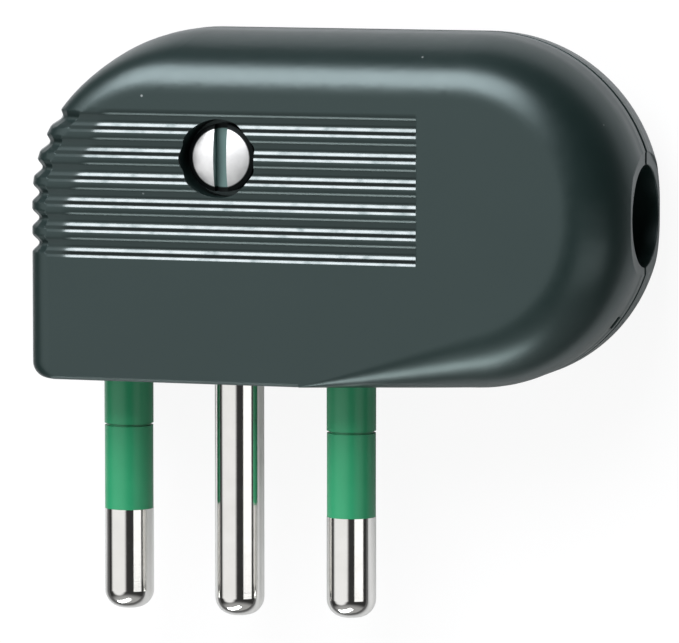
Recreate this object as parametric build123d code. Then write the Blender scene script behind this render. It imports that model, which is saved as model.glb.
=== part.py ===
"""Right-angle mains plug with three round pins in a row.

Two moulded half shells meet on the plane z = 0. The pins point down -Y from the engagement face at
y = 0, the cord enters at the +X end, and +Z is the normal of the front face. The origin is on the
axis of the earth pin, on the engagement face, at the parting plane.
"""
from build123d import *
from math import atan, cos, degrees, pi, radians, sin, sqrt
import os

# Pins
PIN_D = 4.0
PIN_PITCH = 9.5
LIVE_LENGTH = 19.4
EARTH_LENGTH = 19.6
TIP_ROUND = 1.5
FLANGE_D = 6.8
FLANGE_T = 1.5
FLANGE_Y = 1.5
ROOT_D = 4.8
HEAD_D = 6.0
HEAD_FLAT = 2.6
HEAD_CLEAR = 0.9
WIRE_HOLE_D = 3.2
WIRE_HOLE_END = 5.0
TERMINAL_DROP = 2.5

# Sleeves of the live pins
SLEEVE_LENGTH = 11.2
SLEEVE_D = 3.96
SLEEVE_BORE = 2.6
COLLAR_D = 4.0
COLLAR_LENGTH = 4.2
COLLAR_GROOVE_W = 0.2
COLLAR_GROOVE_DEPTH = 0.2

# Body outline, seen from the front
HEEL = 15.5
REACH = 34.7
BODY_HEIGHT = 28.15
CABLE_DROP = 0.375
SHOULDER_RISE = 0.6
END_FLAT = 0.1
HEEL_CORNER = 1.3
LIFT_START = 7.6
LIFT_SLOPE = 0.335
LIFT_MIN = 2.0
LIFT_STEPS = 4
LIFT_GUESSES = 30

# Depth of each half, and the crown that rounds its face
HALF_DEPTH = 8.0
BAND = 1.0
CROWN_TOP = 5.0
CROWN_END = 5.9
HEEL_ROUND = 2.1
CROWN_LOWER = 4.6
CROWN_STEPS = 8
PARTING_GAP = 0.25
PARTING_DEPTH = 0.4
EDGE_CHAMFER = 0.25

# Walls
WALL = 2.0
FLOOR = 4.5
FLOOR_END = 14.5
CORD_ROOM_STEP = 0.5

# Grip grooves round the heel
GRIP_COUNT = 6
GRIP_PITCH = 2.02
GRIP_DROP = 6.16
GRIP_END = 17.3
GRIP_DEPTH = 0.6
GRIP_SHARPNESS = 3
GRIP_LAND = 0.03
GRIP_SPREAD = 0.97
GRIP_STEPS = 6
GRIP_SLOPES = (0, 22.5, 45, 67.5, 90)

# Cable entry and the bar that holds the cord
CABLE_D = 8.2
MOUTH_CUT = 0.8
CLAMP_X = 24.6
CLAMP_INSET = 7.3
CLAMP_WIDTH = 5.0
CLAMP_T = 1.6
CLAMP_SEAT = 1.6
CLAMP_BOSS_D = 5.6
CLAMP_ARCH = 0.8
SADDLE_T = 1.6
SADDLE_TOP = -3.2

# Slot beside the parting line, for the blade that opens the halves
PRY_ANGLE = -38.0
PRY_Z = 1.0
PRY_HEIGHT = 0.7
PRY_LENGTH = 1.2
PRY_DEPTH = 0.6

# Closing screw and its nut
SCREW_X = 0.7
SCREW_DROP = 10.1
SCREW_D = 3.5
SCREW_HEAD_D = 5.5
SCREW_RIM = 1.3
SCREW_DOME = 0.45
SLOT_W = 1.1
SLOT_DEPTH = 1.0
COUNTERBORE_D = 6.3
COUNTERBORE_DEPTH = 2.7
BOSS_D = 9.4
NUT_FLATS = 6.0
NUT_T = 2.6
NUT_RECESS = 0.8
SCREW_PAST_NUT = 0.3

# Small screws: terminals and cord clamp
SMALL_D = 3.0
SMALL_HEAD_D = 4.8
SMALL_HEAD_T = 1.5
SMALL_SLOT_W = 0.8
SMALL_SLOT_DEPTH = 0.8
TERMINAL_TIP = 0.3
CLAMP_SCREW_LENGTH = 7.0

# Clearances
SEAT_GAP = 0.05
THREAD_GAP = 0.02
SCREW_GAP = 0.15
OVERRUN = 1.0

CABLE_Y = BODY_HEIGHT / 2 - CABLE_DROP
SHOULDER_Y = CABLE_Y + SHOULDER_RISE
SHOULDER_R = BODY_HEIGHT - SHOULDER_Y
LOWER_ROUND = CABLE_Y - END_FLAT
CROWN_DEPTH = HALF_DEPTH - BAND
GRIP_TOP = BODY_HEIGHT - GRIP_DROP
SCREW_Y = BODY_HEIGHT - SCREW_DROP
HEAD_TOP = SCREW_Y - BOSS_D / 2 - HEAD_CLEAR
TERMINAL_Y = HEAD_TOP - TERMINAL_DROP
CLAMP_SPREAD = SHOULDER_R - CLAMP_INSET
PIN_X = {"left": -PIN_PITCH, "earth": 0.0, "right": PIN_PITCH}


def heel_inset(turn):
    """How far the round edge of the heel has come in where the crown has turned by turn degrees."""
    rise = HEEL_ROUND - CROWN_DEPTH * (1 - sin(radians(turn)))
    return HEEL_ROUND - sqrt(HEEL_ROUND ** 2 - max(rise, 0) ** 2)


def lower_edge(x, z):
    """Height and slope of the lower edge at x and depth z: a round that widens towards the cable end."""
    radius = LIFT_SLOPE * (x - LIFT_START)
    below = HALF_DEPTH - z
    if radius <= below:
        return 0, 0
    height = radius - sqrt(below * (2 * radius - below))
    return height, LIFT_SLOPE * (1 - sqrt(below / (2 * radius - below)))


def outline(turn, wall, floor, z):
    """Outline at depth z, where the crown has turned by turn degrees; inside, the heel is square."""
    share = 1 - cos(radians(turn))
    left = -HEEL + (wall or heel_inset(turn))
    right = REACH - wall - CROWN_END * share
    top = BODY_HEIGHT - wall - CROWN_TOP * share
    upper_r = SHOULDER_R - wall - CROWN_TOP * share
    lower_r = LOWER_ROUND - floor - CROWN_LOWER * share
    lower_x = right - lower_r
    lift = 0
    for guess in range(LIFT_GUESSES):
        meet_x = lower_x + lower_r * sin(lift)
        height, slope = lower_edge(meet_x, z)
        lift = atan(slope)
    lower_y = floor + height + lower_r * cos(lift)
    start_x = min(LIFT_START + (HALF_DEPTH - z) / LIFT_SLOPE, meet_x - LIFT_MIN)
    run = [meet_x + (start_x - meet_x) * step / LIFT_STEPS for step in range(LIFT_STEPS + 1)]
    corner = HEEL_CORNER
    left_side = Line((left, floor + corner), (left, SHOULDER_Y))
    shoulder = CenterArc((left + upper_r, SHOULDER_Y), upper_r, 180, -90)
    top_side = Line((left + upper_r, top), (right - upper_r, top))
    upper_end = CenterArc((right - upper_r, SHOULDER_Y), upper_r, 90, -90)
    end_side = Line((right, SHOULDER_Y), (right, lower_y))
    lower_end = CenterArc((lower_x, lower_y), lower_r, 0, degrees(lift) - 90)
    lifted_side = Spline(lower_end @ 1, *[(x, floor + lower_edge(x, z)[0]) for x in run[1:]])
    bottom_side = Line(lifted_side @ 1, (left + corner, floor))
    heel_corner = CenterArc((left + corner, floor + corner), corner, -90, -90)
    upper = [left_side, shoulder, top_side, upper_end, end_side]
    return Pos(0, 0, z) * Face(Wire(upper + [lower_end, lifted_side, bottom_side, heel_corner]))


def crowned(wall, floor, depth):
    """Rounded part of a half, from the straight band up to its flat face."""
    turns = [90 * step / CROWN_STEPS for step in range(CROWN_STEPS + 1)]
    return loft([outline(turn, wall, floor, BAND + depth * sin(radians(turn))) for turn in turns])


def heel_reach(y, slope):
    """How far the heel reaches at height y, square to a cut sloped from 0, its side, to 90, the face."""
    reach = []
    for turn in range(0, 91, 3):
        radius = SHOULDER_R - CROWN_TOP * (1 - cos(radians(turn)))
        rise = max(y - SHOULDER_Y, 0)
        side = -HEEL + heel_inset(turn) + radius - sqrt(radius ** 2 - rise ** 2)
        z = BAND + CROWN_DEPTH * sin(radians(turn))
        reach.append(z * sin(radians(slope)) - side * cos(radians(slope)))
    return max(reach)


def grip_groove(middle, slope, first, last):
    """Cutter of one groove about height middle: a wave with a narrow valley, straight along one slope."""
    along = Vector(sin(radians(slope)), 0, cos(radians(slope)))
    across = Plane(origin=along * first, x_dir=(0, 1, 0), z_dir=along)
    points = []
    for step in range(-GRIP_STEPS, GRIP_STEPS + 1):
        phase = GRIP_SPREAD * step / GRIP_STEPS
        y = middle - phase * GRIP_PITCH / 2
        drop = GRIP_DEPTH * cos(pi / 2 * phase) ** GRIP_SHARPNESS - GRIP_LAND
        points.append((y, heel_reach(y, slope) - drop))
    clear = max(reach for y, reach in points) + OVERRUN
    wave = Spline(*points)
    rest = Polyline(points[-1], (points[-1][0], clear), (points[0][0], clear), points[0])
    return extrude(across * Face(Wire([wave, *rest.edges()])), last - first, dir=along)


def cut_grip(block):
    """Cut every groove down the side of the heel, round its edge in steps and along the face."""
    rows = [GRIP_TOP - (row + 0.5) * GRIP_PITCH for row in range(GRIP_COUNT)]
    for slope in GRIP_SLOPES:
        last = GRIP_END if slope == GRIP_SLOPES[-1] else HALF_DEPTH
        block -= [grip_groove(middle, slope, -HEEL - OVERRUN, last) for middle in rows]
    return block


def bottom_chamfer():
    """Cutter that breaks the edge between the face and the flat part of the bottom."""
    return Pos(-HEEL - OVERRUN, EDGE_CHAMFER / 2, HALF_DEPTH - EDGE_CHAMFER / 2) * Rot(45, 0, 0) * Box(
        HEEL + OVERRUN + LIFT_START, 2 * OVERRUN, OVERRUN, align=(Align.MIN, Align.CENTER, Align.MIN))


def half_block():
    """Outside of one half with its grip grooves, still solid; its edge steps back at the parting plane."""
    step = extrude(outline(0, PARTING_DEPTH, PARTING_DEPTH, 0), PARTING_GAP, dir=(0, 0, 1))
    band = extrude(outline(0, 0, 0, PARTING_GAP), BAND - PARTING_GAP, dir=(0, 0, 1))
    return cut_grip(step + band + crowned(0, 0, CROWN_DEPTH)) - bottom_chamfer()


def room(wall, floor):
    """Crowned hollow with its own wall and floor, open through the parting plane."""
    band = extrude(outline(0, wall, floor, -OVERRUN), BAND + OVERRUN, dir=(0, 0, 1))
    return band + crowned(wall, floor, CROWN_DEPTH - wall)


def half_cavity():
    """Hollow of one half: a thick floor under the pins, and a lower room past them for the cord."""
    past_pins = Pos(FLOOR_END, 0, -OVERRUN) * Box(
        REACH, BODY_HEIGHT, HALF_DEPTH + OVERRUN, align=(Align.MIN, Align.MIN, Align.MIN))
    cord_room = room(WALL + CORD_ROOM_STEP, WALL) & past_pins
    return room(WALL, FLOOR) + cord_room


def upright(x, y, z, radius, height):
    """Cylinder along Z that starts at z and rises by height."""
    return Pos(x, y, z) * Cylinder(radius, height, align=(Align.CENTER, Align.CENTER, Align.MIN))


def turned(x, profile):
    """Solid turned about the pin axis at x, from (radius, y) points down one side."""
    points = [(0, profile[0][1])] + profile + [(0, profile[-1][1])]
    face = make_face(Polyline(*points, close=True))
    return Pos(x, 0, 0) * revolve(face, Axis.Y)


def pin_seat(x):
    """Room that a pin takes up in the floor of the two halves."""
    root = ROOT_D / 2 + SEAT_GAP
    flange = FLANGE_D / 2 + SEAT_GAP
    head = HEAD_D / 2 + SEAT_GAP
    flange_top = FLANGE_Y + FLANGE_T + SEAT_GAP
    return turned(x, [(root, -OVERRUN), (root, FLANGE_Y), (flange, FLANGE_Y), (flange, flange_top),
                      (head, flange_top), (head, FLOOR + OVERRUN)])


def pin_seats():
    return pin_seat(PIN_X["left"]) + pin_seat(PIN_X["earth"]) + pin_seat(PIN_X["right"])


def along_cable(x, radius, length):
    """Cylinder on the axis of the cable entry that starts at x and runs out by length."""
    return Pos(x, CABLE_Y, 0) * Rot(0, 90, 0) * Cylinder(
        radius, length, align=(Align.CENTER, Align.CENTER, Align.MIN))


def cable_bore():
    """Cable entry with a mouth that is faced flat."""
    bore = along_cable(CLAMP_X + CLAMP_WIDTH, CABLE_D / 2, REACH - CLAMP_X)
    return bore + along_cable(REACH - MOUTH_CUT, CABLE_D / 2 + OVERRUN, MOUTH_CUT + OVERRUN)


def pry_slot():
    """Cutter of the slot in the lower end of the front half."""
    end_x = REACH - LOWER_ROUND
    return Pos(end_x, LOWER_ROUND, PRY_Z) * Rot(0, 0, PRY_ANGLE) * Pos(LOWER_ROUND, 0, 0) * Box(
        2 * PRY_DEPTH, PRY_LENGTH, PRY_HEIGHT, align=(Align.CENTER, Align.CENTER, Align.MIN))


def front_shell():
    seat_z = HALF_DEPTH - COUNTERBORE_DEPTH
    shell = half_block() - half_cavity() - pry_slot()
    shell += upright(SCREW_X, SCREW_Y, 0, BOSS_D / 2, HALF_DEPTH - WALL / 2)
    shell -= upright(SCREW_X, SCREW_Y, seat_z, COUNTERBORE_D / 2, COUNTERBORE_DEPTH + OVERRUN)
    shell -= upright(SCREW_X, SCREW_Y, -OVERRUN, SCREW_D / 2 + SCREW_GAP, HALF_DEPTH)
    return shell - pin_seats() - cable_bore()


def hexagon(flats, z, height):
    prism = extrude(RegularPolygon(flats / 2, 6, major_radius=False), height)
    return Pos(SCREW_X, SCREW_Y, z) * prism


def nut_floor():
    return -HALF_DEPTH + NUT_RECESS


def rear_shell():
    inside = -HALF_DEPTH + WALL / 2
    pocket_depth = NUT_RECESS + NUT_T
    shell = mirror(half_block() - half_cavity(), about=Plane.XY)
    shell += upright(SCREW_X, SCREW_Y, inside, BOSS_D / 2, -inside)
    shell -= upright(SCREW_X, SCREW_Y, -HALF_DEPTH, SCREW_D / 2 + SCREW_GAP, HALF_DEPTH + OVERRUN)
    shell -= hexagon(NUT_FLATS + 2 * SEAT_GAP, -HALF_DEPTH - OVERRUN, pocket_depth + OVERRUN)
    shell += Pos(CLAMP_X, CABLE_Y, inside) * Box(
        SADDLE_T, 2 * CLAMP_SPREAD, SADDLE_TOP - inside, align=(Align.CENTER, Align.CENTER, Align.MIN))
    for side in (-1, 1):
        boss_y = CABLE_Y + side * CLAMP_SPREAD
        shell += upright(CLAMP_X, boss_y, inside, CLAMP_BOSS_D / 2, CLAMP_SEAT - inside)
        hole_depth = CLAMP_SCREW_LENGTH - CLAMP_T + OVERRUN
        shell -= upright(CLAMP_X, boss_y, CLAMP_SEAT - hole_depth, SMALL_D / 2 + THREAD_GAP, hole_depth)
    return shell - pin_seats() - cable_bore()


def slotted_screw(diameter, length, head_d, head_t, slot_w, slot_depth):
    """Flat-headed slotted screw: head underside at z = 0, shank down, slot along Y."""
    screw = upright(0, 0, -length, diameter / 2, length) + upright(0, 0, 0, head_d / 2, head_t)
    slot = Pos(0, 0, head_t - slot_depth) * Box(
        slot_w, head_d + OVERRUN, slot_depth + OVERRUN, align=(Align.CENTER, Align.CENTER, Align.MIN))
    return screw - slot


def closing_screw():
    """Round-head screw: the head is a rim with a spherical dome."""
    seat_z = HALF_DEPTH - COUNTERBORE_DEPTH
    end_z = nut_floor() - SCREW_PAST_NUT
    rim = SCREW_HEAD_D / 2
    dome_r = (rim ** 2 + SCREW_DOME ** 2) / (2 * SCREW_DOME)
    crown_z = SCREW_RIM + SCREW_DOME
    round_head = upright(0, 0, 0, rim, crown_z) & Pos(0, 0, crown_z - dome_r) * Sphere(dome_r)
    slot = Pos(0, 0, crown_z - SLOT_DEPTH) * Box(
        SLOT_W, SCREW_HEAD_D + OVERRUN, SLOT_DEPTH + OVERRUN, align=(Align.CENTER, Align.CENTER, Align.MIN))
    shank = upright(0, 0, end_z - seat_z, SCREW_D / 2, seat_z - end_z)
    return Pos(SCREW_X, SCREW_Y, seat_z) * (round_head - slot + shank)


def closing_nut():
    return (hexagon(NUT_FLATS, nut_floor(), NUT_T)
            - upright(SCREW_X, SCREW_Y, -HALF_DEPTH, SCREW_D / 2 + THREAD_GAP, HALF_DEPTH))


def pin(x, length, root_d, root_start):
    """Turned pin: rounded tip, shank, root, flange and a drilled head with a flat for its wire screw."""
    shank = PIN_D / 2
    root = root_d / 2
    flange = FLANGE_D / 2
    flange_top = FLANGE_Y + FLANGE_T
    head = HEAD_D / 2
    body = turned(x, [(shank, -length), (shank, root_start), (root, root_start), (root, FLANGE_Y),
                      (flange, FLANGE_Y), (flange, flange_top), (head, flange_top), (head, HEAD_TOP)])
    body = fillet(body.edges().filter_by(GeomType.CIRCLE).sort_by(Axis.Y)[0], TIP_ROUND)
    body -= turned(x, [(WIRE_HOLE_D / 2, WIRE_HOLE_END), (WIRE_HOLE_D / 2, HEAD_TOP + OVERRUN)])
    body -= Pos(x, FLOOR + OVERRUN, HEAD_FLAT) * Box(
        HEAD_D, HEAD_TOP, HEAD_D, align=(Align.CENTER, Align.MIN, Align.MIN))
    return body - upright(x, TERMINAL_Y, 0, SMALL_D / 2 + THREAD_GAP, HEAD_D)


def sleeve(x):
    """Insulating sleeve under the flange of a live pin: root in the body, collar, fine groove and tube."""
    collar = COLLAR_D / 2
    outer = SLEEVE_D / 2
    groove = outer - COLLAR_GROOVE_DEPTH
    groove_end = -COLLAR_LENGTH - COLLAR_GROOVE_W
    bore = SLEEVE_BORE / 2 + THREAD_GAP
    tube = turned(x, [(outer, -SLEEVE_LENGTH), (outer, groove_end), (groove, groove_end),
                      (groove, -COLLAR_LENGTH), (collar, -COLLAR_LENGTH), (collar, 0),
                      (ROOT_D / 2, 0), (ROOT_D / 2, FLANGE_Y)])
    return tube - turned(x, [(bore, -SLEEVE_LENGTH - OVERRUN), (bore, FLANGE_Y + OVERRUN)])


def terminal_screws():
    length = HEAD_FLAT - TERMINAL_TIP
    screw = slotted_screw(SMALL_D, length, SMALL_HEAD_D, SMALL_HEAD_T, SMALL_SLOT_W, SMALL_SLOT_DEPTH)
    return Compound([Pos(x, TERMINAL_Y, HEAD_FLAT) * screw for x in PIN_X.values()])


def cord_clamp():
    """Bar across the cord, hollowed under its middle, with a hole over each boss."""
    length = 2 * CLAMP_SPREAD + CLAMP_BOSS_D
    bar = Pos(CLAMP_X, CABLE_Y, CLAMP_SEAT) * Box(
        CLAMP_WIDTH, length, CLAMP_T, align=(Align.CENTER, Align.CENTER, Align.MIN))
    bar = fillet(bar.edges().filter_by(Axis.Z), CLAMP_WIDTH / 2 - SEAT_GAP)
    span = CLAMP_SPREAD - CLAMP_BOSS_D / 2
    arch_r = (span ** 2 + CLAMP_ARCH ** 2) / (2 * CLAMP_ARCH)
    arch = Pos(CLAMP_X, CABLE_Y, CLAMP_SEAT + CLAMP_ARCH - arch_r) * Rot(0, 90, 0) * Cylinder(
        arch_r, CLAMP_WIDTH + OVERRUN)
    bar -= arch
    for side in (-1, 1):
        bar -= upright(CLAMP_X, CABLE_Y + side * CLAMP_SPREAD, CLAMP_SEAT - OVERRUN,
                       SMALL_D / 2 + SCREW_GAP, CLAMP_T + 2 * OVERRUN)
    return bar


def clamp_screws():
    screw = slotted_screw(SMALL_D, CLAMP_SCREW_LENGTH, SMALL_HEAD_D, SMALL_HEAD_T,
                          SMALL_SLOT_W, SMALL_SLOT_DEPTH)
    return Compound([Pos(CLAMP_X, CABLE_Y + side * CLAMP_SPREAD, CLAMP_SEAT + CLAMP_T) * screw
                     for side in (-1, 1)])


PIECES = {
    "front_shell": front_shell(),
    "rear_shell": rear_shell(),
    "closing_screw": closing_screw(),
    "closing_nut": closing_nut(),
    "left_pin": pin(PIN_X["left"], LIVE_LENGTH, SLEEVE_BORE, -SLEEVE_LENGTH),
    "earth_pin": pin(PIN_X["earth"], EARTH_LENGTH, ROOT_D, 0),
    "right_pin": pin(PIN_X["right"], LIVE_LENGTH, SLEEVE_BORE, -SLEEVE_LENGTH),
    "left_sleeve": sleeve(PIN_X["left"]),
    "right_sleeve": sleeve(PIN_X["right"]),
    "terminal_screws": terminal_screws(),
    "cord_clamp": cord_clamp(),
    "clamp_screws": clamp_screws(),
}

os.makedirs("parts", exist_ok=True)
for name, piece in PIECES.items():
    export_step(piece, f"parts/{name}.step")
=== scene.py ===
"""Looks of the angled plug: studio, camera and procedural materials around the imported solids.

Lengths are in metres, in the frame of the solids: +X along the body to the cable entry, -Y along the
pins, +Z the normal of the front face. The plug lies on its rear face.
"""
import math
from typing import NamedTuple

import bpy
from mathutils import Matrix, Vector


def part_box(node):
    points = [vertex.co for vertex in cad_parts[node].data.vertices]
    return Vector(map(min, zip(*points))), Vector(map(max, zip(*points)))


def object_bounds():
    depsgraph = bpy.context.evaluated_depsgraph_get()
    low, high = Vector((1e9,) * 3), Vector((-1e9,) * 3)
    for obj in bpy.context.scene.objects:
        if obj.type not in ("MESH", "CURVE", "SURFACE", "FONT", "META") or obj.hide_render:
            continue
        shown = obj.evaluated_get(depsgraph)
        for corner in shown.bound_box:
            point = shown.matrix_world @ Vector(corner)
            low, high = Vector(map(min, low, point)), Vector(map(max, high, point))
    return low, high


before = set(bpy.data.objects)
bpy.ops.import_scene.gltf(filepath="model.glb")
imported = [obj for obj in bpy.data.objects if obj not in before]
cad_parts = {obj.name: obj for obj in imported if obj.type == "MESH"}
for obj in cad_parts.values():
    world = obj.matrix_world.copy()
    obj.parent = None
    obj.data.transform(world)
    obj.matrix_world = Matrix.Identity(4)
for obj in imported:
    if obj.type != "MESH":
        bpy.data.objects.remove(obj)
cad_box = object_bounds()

MM = 0.001


class Softbox(NamedTuple):
    """Rectangular lamp: its direction from centre as a tilt, its distance, size, level and colour."""
    name: str
    tilt: tuple
    distance: float
    width: float
    height: float
    level: float
    colour: tuple
    centre: Vector


class Finish(NamedTuple):
    """Two colours and two roughnesses with slow noise between them, and its waves per metre."""
    colours: tuple
    colour_waves: float
    roughness: tuple
    roughness_waves: float


class Relief(NamedTuple):
    """Fine noise relief: waves per metre, detail of the noise, strength, and depth in metres."""
    waves: float
    detail: float
    strength: float
    depth: float


# Camera: where it stands relative to the point that it looks at; sensor and lens are in millimetres
IMAGE_WIDTH = 679
SENSOR = 36.0
TARGET = Vector((8.491, 4.564, 0.0)) * MM
DISTANCE = 501.4 * MM
YAW = math.radians(17.5)
PITCH = math.radians(5.6)
FOCAL_PX = 6225
LENS = FOCAL_PX * SENSOR / IMAGE_WIDTH
CLIP_START, CLIP_END = 0.01, 20

# Room: levels are radiance, tilts are degrees from +Z towards +X and +Y, edges are degrees from a tilt
ROOM_LEVEL = 0.045
PANEL_TILT, PANEL_EDGE, PANEL_LEVEL = (-35, 14), (46, 34), 1.25
LOW_TILT, LOW_EDGE, LOW_LEVEL = (-10, -80), (62, 35), 0.46

# Lamps: an area lamp of level 1 takes LAMP_WATTS per square metre
LAMP_WATTS = 4
PINS_MIDDLE = Vector((0, -10, 0)) * MM
SOFTBOXES = (
    Softbox("top_strip", (-20, 46), 0.7, 0.62, 0.44, 7.2, (0.93, 0.94, 0.98), TARGET),
    Softbox("low_strip", (-35, -72), 0.7, 0.7, 0.2, 6.0, (0.95, 1.0, 1.0), TARGET),
    Softbox("pin_card", (55, -9), 0.12, 0.085, 0.035, 1.0, (1.0, 1.0, 1.0), PINS_MIDDLE))

# Floor: tone to the lens, tones of a painted pool of light that other rays see near and far from the body,
# and the shares of it that glow
FLOOR_SIZE = 4.0
FLOOR_GAP = 0.02 * MM
FLOOR_WHITE = 0.9
BODY_MIDDLE = Vector((9.5, 14, -8)) * MM
FLOOR_POOL_REACH, FLOOR_POOL_TONES = (34 * MM, 70 * MM), (0.65, 0.06)
FLOOR_SEEN, FLOOR_MIRRORED = 0.9, 0.05

# Finishes and reliefs
PLAIN_DETAIL, GRAIN_DETAIL, STAIN_DETAIL = 2, 3, 4
BODY = Finish(((0.005, 0.0125, 0.0115), (0.007, 0.0155, 0.0145)), 160, (0.30, 0.37), 900)
SLEEVE = Finish(((0.014, 0.22, 0.095), (0.022, 0.27, 0.12)), 300, (0.30, 0.42), 1200)
NICKEL = Finish(((0.74, 0.73, 0.70), (0.86, 0.85, 0.83)), 500, (0.06, 0.14), 1500)
ZINC = Finish(((0.70, 0.70, 0.70), (0.82, 0.82, 0.81)), 500, (0.18, 0.30), 1500)
SCREW = Finish(((0.72, 0.72, 0.72), (0.92, 0.92, 0.91)), 1500, (0.38, 0.55), 2500)
BODY_GRAIN = Relief(3000, GRAIN_DETAIL, 0.15, 0.01 * MM)
SLEEVE_GRAIN = Relief(6000, GRAIN_DETAIL, 0.08, 0.02 * MM)
SCREW_SCUFFS = Relief(4000, GRAIN_DETAIL, 0.2, 0.02 * MM)
LATHE_RINGS = Relief(9000, PLAIN_DETAIL, 0.22, 0.01 * MM)
RING_STRETCH = (0.04, 1, 0.04)

# Body plastic: its gloss, the polish on the flanks of the grooves, and the round that edges are shaded with
BODY_IOR, BODY_TINT = 1.6, (0.82, 1.0, 1.0)
POLISH_IOR, POLISH_ROUGHNESS = 1.65, 0.15
POLISH_WAVES, POLISH_WEAR = 900, (0.1, 0.6)
SMALL_ROUND = 0.2 * MM

# Grip grooves of the solids: drop of the first below the body's top, pitch and count
GRIP_DROP, GRIP_PITCH, GRIP_COUNT = 6.16 * MM, 2.02 * MM, 6
GRIP_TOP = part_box("front_shell")[1].y - GRIP_DROP

# Reach of the groove finish: just short of the grooves' right-hand end, and from below their valleys up
GRIP_END, GRIP_FLOOR = 17.25 * MM, 7.0 * MM

# Left-hand ends of the lines: they fade over GRIP_START, raked above GRIP_BEND, and keep HEEL_SLOPE
GRIP_START, GRIP_BEND, GRIP_RAKE = (-13.2 * MM, -11.4 * MM), 14 * MM, 0.42
HEEL_SLOPE = 0.35

# Limits of the groove finish: parts of the surface normal, a length, and a share of a groove
MASK_LEAN_X, MASK_LEAN_Z = (0.2, 0.06), (0.4, 0.6)
MASK_EDGE, ROW_EDGE = 0.1 * MM, 0.01

# Finish across one groove from its upper edge: place, slope of the flank, polish and painted shade (the
# base colour darkened in the valley and between the bright lines)
RIB_FINISH = (
    (0.000, 0.00, 0.0, 0.0), (0.100, -0.20, 0.0, 0.3), (0.170, -0.30, 0.0, 0.2), (0.220, -0.62, 0.1, 0.0),
    (0.270, -0.62, 0.1, 0.0), (0.330, -0.08, 0.0, 0.0), (0.480, -0.08, 0.0, 0.0), (0.560, -0.28, 0.0, 0.3),
    (0.640, 0.42, 0.7, 0.0), (0.683, 0.48, 1.0, 0.0), (0.725, 0.46, 0.7, 0.0), (0.775, -0.30, 0.0, 0.9),
    (0.850, -0.30, 0.0, 0.9), (0.895, 0.44, 0.7, 0.0), (0.945, 0.48, 1.0, 0.0), (0.980, 0.42, 0.6, 0.0),
    (1.000, 0.00, 0.0, 0.0))

# A colour ramp holds 0 to 1: a level flank is RAMP_LEVEL, and the ramp spans RAMP_SPAN of slope
RAMP_LEVEL, RAMP_SPAN = 0.5, 2.0

# Painted shade: colours, and where it sets in on the screw, by the depth below its top and by the radius
# Painted shade in the groove valleys and between each pair of bright lines
GROOVE_SHADE = (0.001, 0.0015, 0.0015)
# Painted shade in the screw's slot and down the sides of its head
SLOT_SHADE, SLOT_DEPTHS = (0.16, 0.25, 0.24), (0.28 * MM, 0.68 * MM)
# Painted shade round the edge of the screw head, in the counterbore
RIM_SHADE, RIM_RADII = (0.012, 0.014, 0.014), (2.3 * MM, 2.42 * MM)
SCREW_LOW, SCREW_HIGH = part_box("closing_screw")
IN_PLAN = Vector((1, 1, 0))
SCREW_AXIS = (SCREW_LOW + SCREW_HIGH) / 2 * IN_PLAN

# Specks of dust: colour, cells per metre, edge as a share of a cell, and how few cells have one
SPECK_COLOUR, SPECK_CELLS = (0.22, 0.24, 0.24), 400
SPECK_EDGE, SPECK_RARITY = (0.055, 0.02), 0.6


def look_matrix(place, back, right):
    """Matrix of a camera or lamp at place, whose -Z looks against back and whose +X is right."""
    up = back.cross(right)
    turn = Matrix((right, up, back)).transposed()
    return Matrix.Translation(place) @ turn.to_4x4()


def tilted(tilt_x, tilt_y):
    """Direction tilted from +Z towards +X and +Y, in degrees."""
    return Vector((math.tan(math.radians(tilt_x)), math.tan(math.radians(tilt_y)), 1)).normalized()


def add_camera():
    """Camera at the photograph's angle."""
    back = Vector((math.sin(YAW) * math.cos(PITCH), math.sin(PITCH), math.cos(YAW) * math.cos(PITCH)))
    right = Vector((math.cos(YAW), 0, -math.sin(YAW)))
    data = bpy.data.cameras.new("camera")
    data.sensor_width = SENSOR
    data.lens = LENS
    data.clip_start, data.clip_end = CLIP_START, CLIP_END
    camera = bpy.data.objects.new("camera", data)
    camera.matrix_world = look_matrix(TARGET + back * DISTANCE, back, right)
    bpy.context.scene.collection.objects.link(camera)
    bpy.context.scene.camera = camera


def add_lamp(box):
    """Softbox that lights the plug and shows in reflections, but not to the lens."""
    back = tilted(*box.tilt)
    right = Vector((back.z, 0, -back.x)).normalized()
    data = bpy.data.lights.new(box.name, "AREA")
    data.shape = "RECTANGLE"
    data.size, data.size_y = box.width, box.height
    data.energy = box.level * LAMP_WATTS * box.width * box.height
    data.color = box.colour
    lamp = bpy.data.objects.new(box.name, data)
    lamp.matrix_world = look_matrix(box.centre + back * box.distance, back, right)
    lamp.visible_camera = False
    bpy.context.scene.collection.objects.link(lamp)


def tree_of(owner):
    """Emptied node tree of a material or world."""
    owner.use_nodes = True
    owner.node_tree.nodes.clear()
    return owner.node_tree


def feed(tree, value, socket):
    """Link an output to an input socket, or set the input where the value is a constant."""
    if isinstance(value, bpy.types.NodeSocket):
        tree.links.new(value, socket)
    else:
        socket.default_value = value


def add_math(tree, operation, *values):
    """Result of a Math node on numbers or sockets."""
    node = tree.nodes.new("ShaderNodeMath")
    node.operation = operation
    for value, socket in zip(values, node.inputs):
        feed(tree, value, socket)
    return node.outputs["Value"]


def add_product(tree, first, *others):
    """Product of several sockets."""
    for other in others:
        first = add_math(tree, "MULTIPLY", first, other)
    return first


def add_vector_math(tree, operation, output, *values):
    """Output, Vector or Value, of a Vector Math node on vectors or sockets."""
    node = tree.nodes.new("ShaderNodeVectorMath")
    node.operation = operation
    for value, socket in zip(values, node.inputs):
        feed(tree, value, socket)
    return node.outputs[output]


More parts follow.
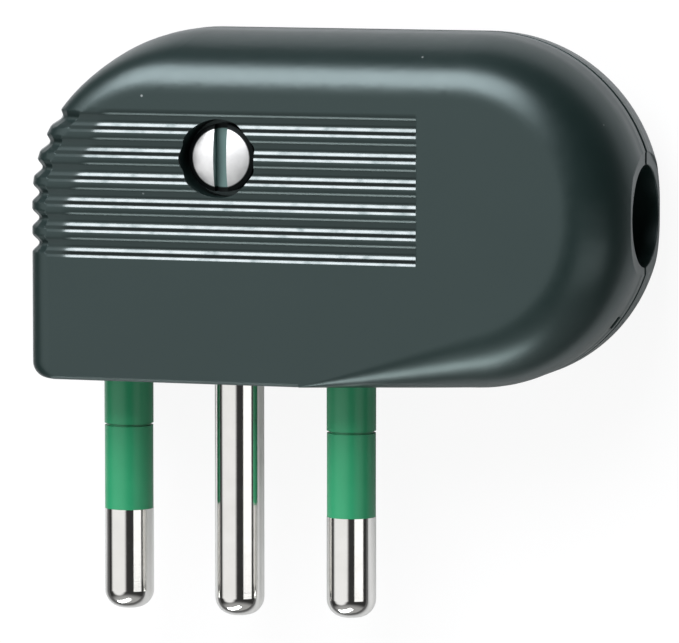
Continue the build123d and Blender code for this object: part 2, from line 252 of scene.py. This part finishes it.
def add_range(tree, value, source, result=(0, 1), curve="SMOOTHSTEP"):
    """Value turned from the range source to the range result; either range may run downwards."""
    node = tree.nodes.new("ShaderNodeMapRange")
    node.interpolation_type = curve
    node.inputs["From Min"].default_value, node.inputs["From Max"].default_value = source
    node.inputs["To Min"].default_value, node.inputs["To Max"].default_value = result
    tree.links.new(value, node.inputs["Value"])
    return node.outputs["Result"]


def add_mix(tree, kind, factor, first, second):
    """Mix by factor of two sockets or constants of a kind: FLOAT, VECTOR or RGBA."""
    node = tree.nodes.new("ShaderNodeMix")
    node.data_type = kind
    feed(tree, factor, node.inputs["Factor"])
    feed(tree, first, node.inputs["A"])
    feed(tree, second, node.inputs["B"])
    return node.outputs["Result"]


def split(tree, source):
    """The three parts of a vector socket."""
    parts = tree.nodes.new("ShaderNodeSeparateXYZ")
    tree.links.new(source, parts.inputs["Vector"])
    return parts.outputs


def add_noise(tree, place, waves, detail):
    """Noise from 0 to 1 with so many waves per metre."""
    node = tree.nodes.new("ShaderNodeTexNoise")
    node.inputs["Scale"].default_value = waves
    node.inputs["Detail"].default_value = detail
    tree.links.new(place, node.inputs["Vector"])
    return node.outputs["Fac"]


def add_panel(tree, direction, tilt, edge, levels):
    """Round panel in the room: the second of its levels inside its edge and the first outside."""
    towards = add_vector_math(tree, "DOT_PRODUCT", "Value", direction, tilted(*tilt))
    return add_range(tree, towards, [math.cos(math.radians(angle)) for angle in edge], levels)


def add_world():
    """Dim room with a pale panel that the front face mirrors and a dimmer one beyond the pins."""
    world = bpy.data.worlds.new("studio")
    bpy.context.scene.world = world
    tree = tree_of(world)
    direction = tree.nodes.new("ShaderNodeTexCoord").outputs["Generated"]
    panel = add_panel(tree, direction, PANEL_TILT, PANEL_EDGE, (ROOM_LEVEL, PANEL_LEVEL))
    low_panel = add_panel(tree, direction, LOW_TILT, LOW_EDGE, (0, LOW_LEVEL))
    background = tree.nodes.new("ShaderNodeBackground")
    output = tree.nodes.new("ShaderNodeOutputWorld")
    tree.links.new(add_math(tree, "ADD", panel, low_panel), background.inputs["Strength"])
    tree.links.new(background.outputs["Background"], output.inputs["Surface"])


def floor_white():
    """Matte floor with a glow: the lens sees it white, and other rays see a painted pool of light, greyer
    away from the body.
    """
    material = bpy.data.materials.new("floor_white")
    tree = tree_of(material)
    place = tree.nodes.new("ShaderNodeTexCoord").outputs["Object"]
    rays = tree.nodes.new("ShaderNodeLightPath").outputs
    reach = add_vector_math(tree, "DISTANCE", "Value", place, BODY_MIDDLE)
    # Painted pool of light: other rays see the floor bright near the body and dark far from it
    painted_pool = add_range(tree, reach, FLOOR_POOL_REACH, FLOOR_POOL_TONES)
    tone = add_mix(tree, "FLOAT", rays["Is Camera Ray"], painted_pool, FLOOR_WHITE)
    seen = add_math(tree, "MULTIPLY", rays["Is Camera Ray"], FLOOR_SEEN)
    glowing = add_math(tree, "MULTIPLY_ADD", rays["Is Glossy Ray"], FLOOR_MIRRORED, seen)
    matte = tree.nodes.new("ShaderNodeBsdfDiffuse")
    glow = tree.nodes.new("ShaderNodeEmission")
    blend = tree.nodes.new("ShaderNodeMixShader")
    output = tree.nodes.new("ShaderNodeOutputMaterial")
    tree.links.new(tone, matte.inputs["Color"])
    parts = (glowing, matte.outputs["BSDF"], glow.outputs["Emission"])
    for part, socket in zip(parts, blend.inputs):
        tree.links.new(part, socket)
    tree.links.new(blend.outputs["Shader"], output.inputs["Surface"])
    return material


def add_floor():
    """Table top just under the plug."""
    half = FLOOR_SIZE / 2
    level = cad_box[0].z - FLOOR_GAP
    mesh = bpy.data.meshes.new("floor")
    corners = [(x * half, y * half, level) for x, y in ((-1, -1), (1, -1), (1, 1), (-1, 1))]
    mesh.from_pydata(corners, [], [(0, 1, 2, 3)])
    mesh.materials.append(floor_white())
    floor = bpy.data.objects.new("floor", mesh)
    bpy.context.scene.collection.objects.link(floor)


def new_material(name, finish, metallic=0):
    """Material with the colour and roughness of a finish, its tree, its places and its shader."""
    material = bpy.data.materials.new(name)
    tree = tree_of(material)
    place = tree.nodes.new("ShaderNodeTexCoord").outputs["Object"]
    shader = tree.nodes.new("ShaderNodeBsdfPrincipled")
    output = tree.nodes.new("ShaderNodeOutputMaterial")
    shader.inputs["Metallic"].default_value = metallic
    stains = add_noise(tree, place, finish.colour_waves, STAIN_DETAIL)
    colour = add_mix(tree, "RGBA", stains, *((*colour, 1) for colour in finish.colours))
    scuffs = add_noise(tree, place, finish.roughness_waves, STAIN_DETAIL)
    roughness = add_range(tree, scuffs, (0, 1), finish.roughness, "LINEAR")
    tree.links.new(colour, shader.inputs["Base Color"])
    tree.links.new(roughness, shader.inputs["Roughness"])
    tree.links.new(shader.outputs["BSDF"], output.inputs["Surface"])
    return material, tree, place, shader


def add_relief(tree, place, relief, shader, normal=None):
    """Noise relief on the shader's normal, or on another normal that is given."""
    bump = tree.nodes.new("ShaderNodeBump")
    bump.inputs["Strength"].default_value = relief.strength
    bump.inputs["Distance"].default_value = relief.depth
    tree.links.new(add_noise(tree, place, relief.waves, relief.detail), bump.inputs["Height"])
    if normal:
        tree.links.new(normal, bump.inputs["Normal"])
    tree.links.new(bump.outputs["Normal"], shader.inputs["Normal"])


def add_dust_and_shade(tree, shader, share, colour):
    """Turn the shader's colour towards another colour by share: dust specks, and painted shade."""
    clean = shader.inputs["Base Color"].links[0].from_socket
    tree.links.new(add_mix(tree, "RGBA", share, clean, (*colour, 1)), shader.inputs["Base Color"])


def add_specks(tree, place, shader):
    """A few specks of dust, in a cell here and there."""
    cells = tree.nodes.new("ShaderNodeTexVoronoi")
    cells.inputs["Scale"].default_value = SPECK_CELLS
    tree.links.new(place, cells.inputs["Vector"])
    chance = split(tree, cells.outputs["Color"])[0]
    chosen = add_math(tree, "GREATER_THAN", chance, SPECK_RARITY)
    speck = add_range(tree, cells.outputs["Distance"], SPECK_EDGE)
    add_dust_and_shade(tree, shader, add_product(tree, speck, chosen), SPECK_COLOUR)


def groove_mask(tree, x, z, row):
    """1 on the grooves of the front face and 0 elsewhere."""
    normal = tree.nodes.new("ShaderNodeNewGeometry").outputs["Normal"]
    lean_x, _, lean_z = split(tree, normal)
    limits = (
        (add_math(tree, "ABSOLUTE", lean_x), MASK_LEAN_X),
        (lean_z, MASK_LEAN_Z),
        (x, (GRIP_END + MASK_EDGE, GRIP_END)),
        (z, (GRIP_FLOOR, GRIP_FLOOR + MASK_EDGE)),
        (row, (-ROW_EDGE, ROW_EDGE)),
        (row, (GRIP_COUNT + ROW_EDGE, GRIP_COUNT - ROW_EDGE)))
    return add_product(tree, *(add_range(tree, value, limit) for value, limit in limits))


def across_groove(tree, row):
    """Slope, polish and painted shade across each groove, the slope as the ramp holds it."""
    ramp = tree.nodes.new("ShaderNodeValToRGB")
    stops = ramp.color_ramp.elements
    for place, *_ in RIB_FINISH[1:-1]:
        stops.new(place)
    for stop, (_, slope, polish, painted_shade) in zip(stops, RIB_FINISH):
        stop.color = (slope / RAMP_SPAN + RAMP_LEVEL, polish, painted_shade, 1)
    tree.links.new(add_math(tree, "FRACT", row), ramp.inputs["Fac"])
    return split(tree, ramp.outputs["Color"])


def finish_grooves(tree, place, shader):
    """Polish and painted shade on the front grooves; gives the normal with their flanks and with rounded
    edges.
    """
    x, y, z = split(tree, place)
    row = add_math(tree, "DIVIDE", add_math(tree, "SUBTRACT", GRIP_TOP, y), GRIP_PITCH)
    bend = add_math(tree, "MAXIMUM", add_math(tree, "SUBTRACT", y, GRIP_BEND), 0)
    along = add_math(tree, "SUBTRACT", x, add_math(tree, "MULTIPLY", bend, GRIP_RAKE))
    fade = add_range(tree, along, GRIP_START)
    mask = groove_mask(tree, x, z, row)
    slope, polish, painted_shade = across_groove(tree, row)
    wear = add_range(tree, add_noise(tree, place, POLISH_WAVES, PLAIN_DETAIL), POLISH_WEAR)
    tree.links.new(add_product(tree, polish, wear, fade, mask), shader.inputs["Coat Weight"])
    # Painted shade: the base colour darkens in the valleys and between the bright lines
    add_dust_and_shade(tree, shader, add_product(tree, painted_shade, fade, mask), GROOVE_SHADE)

    steep = add_math(tree, "MULTIPLY", add_math(tree, "MAXIMUM", fade, HEEL_SLOPE), RAMP_SPAN)
    lean = add_math(tree, "MULTIPLY", add_math(tree, "SUBTRACT", slope, RAMP_LEVEL), steep)
    flank = tree.nodes.new("ShaderNodeCombineXYZ")
    flank.inputs["Z"].default_value = 1
    tree.links.new(lean, flank.inputs["Y"])
    rounded = tree.nodes.new("ShaderNodeBevel")
    rounded.inputs["Radius"].default_value = SMALL_ROUND
    normal = add_mix(tree, "VECTOR", mask, rounded.outputs["Normal"], flank.outputs["Vector"])
    return add_vector_math(tree, "NORMALIZE", "Vector", normal)


def body_plastic():
    """Satin moulded plastic, near black with a green-grey cast and a fine spark-eroded grain."""
    material, tree, place, shader = new_material("body_plastic", BODY)
    shader.inputs["IOR"].default_value = BODY_IOR
    shader.inputs["Specular Tint"].default_value = (*BODY_TINT, 1)
    shader.inputs["Coat IOR"].default_value = POLISH_IOR
    shader.inputs["Coat Roughness"].default_value = POLISH_ROUGHNESS
    normal = finish_grooves(tree, place, shader)
    add_specks(tree, place, shader)
    add_relief(tree, place, BODY_GRAIN, shader, normal)
    tree.links.new(normal, shader.inputs["Coat Normal"])
    return material


def sleeve_plastic():
    """Smooth green plastic."""
    material, tree, place, shader = new_material("sleeve_green", SLEEVE)
    add_relief(tree, place, SLEEVE_GRAIN, shader)
    return material


def turned_metal(name, finish):
    """Plated turned metal: fine rings from the lathe, small stains and scuffs."""
    material, tree, place, shader = new_material(name, finish, metallic=1)
    rings = tree.nodes.new("ShaderNodeMapping")
    rings.inputs["Scale"].default_value = RING_STRETCH
    tree.links.new(place, rings.inputs["Vector"])
    add_relief(tree, rings.outputs["Vector"], LATHE_RINGS, shader)
    return material


def screw_metal():
    """Zinc plated screw head, dull and scuffed, with painted shade in its slot and round its rim."""
    material, tree, place, shader = new_material("screw_zinc", SCREW, metallic=1)
    add_relief(tree, place, SCREW_SCUFFS, shader)
    depth = add_math(tree, "SUBTRACT", SCREW_HIGH.z, split(tree, place)[2])
    flat = add_vector_math(tree, "MULTIPLY", "Vector", place, IN_PLAN)
    radius = add_vector_math(tree, "DISTANCE", "Value", flat, SCREW_AXIS)
    # Painted shade in the slot and down the sides of the head
    add_dust_and_shade(tree, shader, add_range(tree, depth, SLOT_DEPTHS), SLOT_SHADE)
    # Painted shade round the edge of the head
    add_dust_and_shade(tree, shader, add_range(tree, radius, RIM_RADII), RIM_SHADE)
    return material


def paint(material, *names):
    """Give a material to the named nodes."""
    for name in names:
        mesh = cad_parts[name].data
        mesh.materials.clear()
        mesh.materials.append(material)


def dress():
    """Give each node its material."""
    paint(body_plastic(), "front_shell", "rear_shell", "cord_clamp")
    paint(sleeve_plastic(), "left_sleeve", "right_sleeve")
    paint(turned_metal("nickel_brass", NICKEL), "left_pin", "earth_pin", "right_pin")
    paint(turned_metal("zinc_steel", ZINC), "closing_nut", "terminal_screws", "clamp_screws")
    paint(screw_metal(), "closing_screw")


bpy.context.scene.view_settings.view_transform = "Standard"
add_camera()
add_world()
add_floor()
for softbox in SOFTBOXES:
    add_lamp(softbox)
dress()
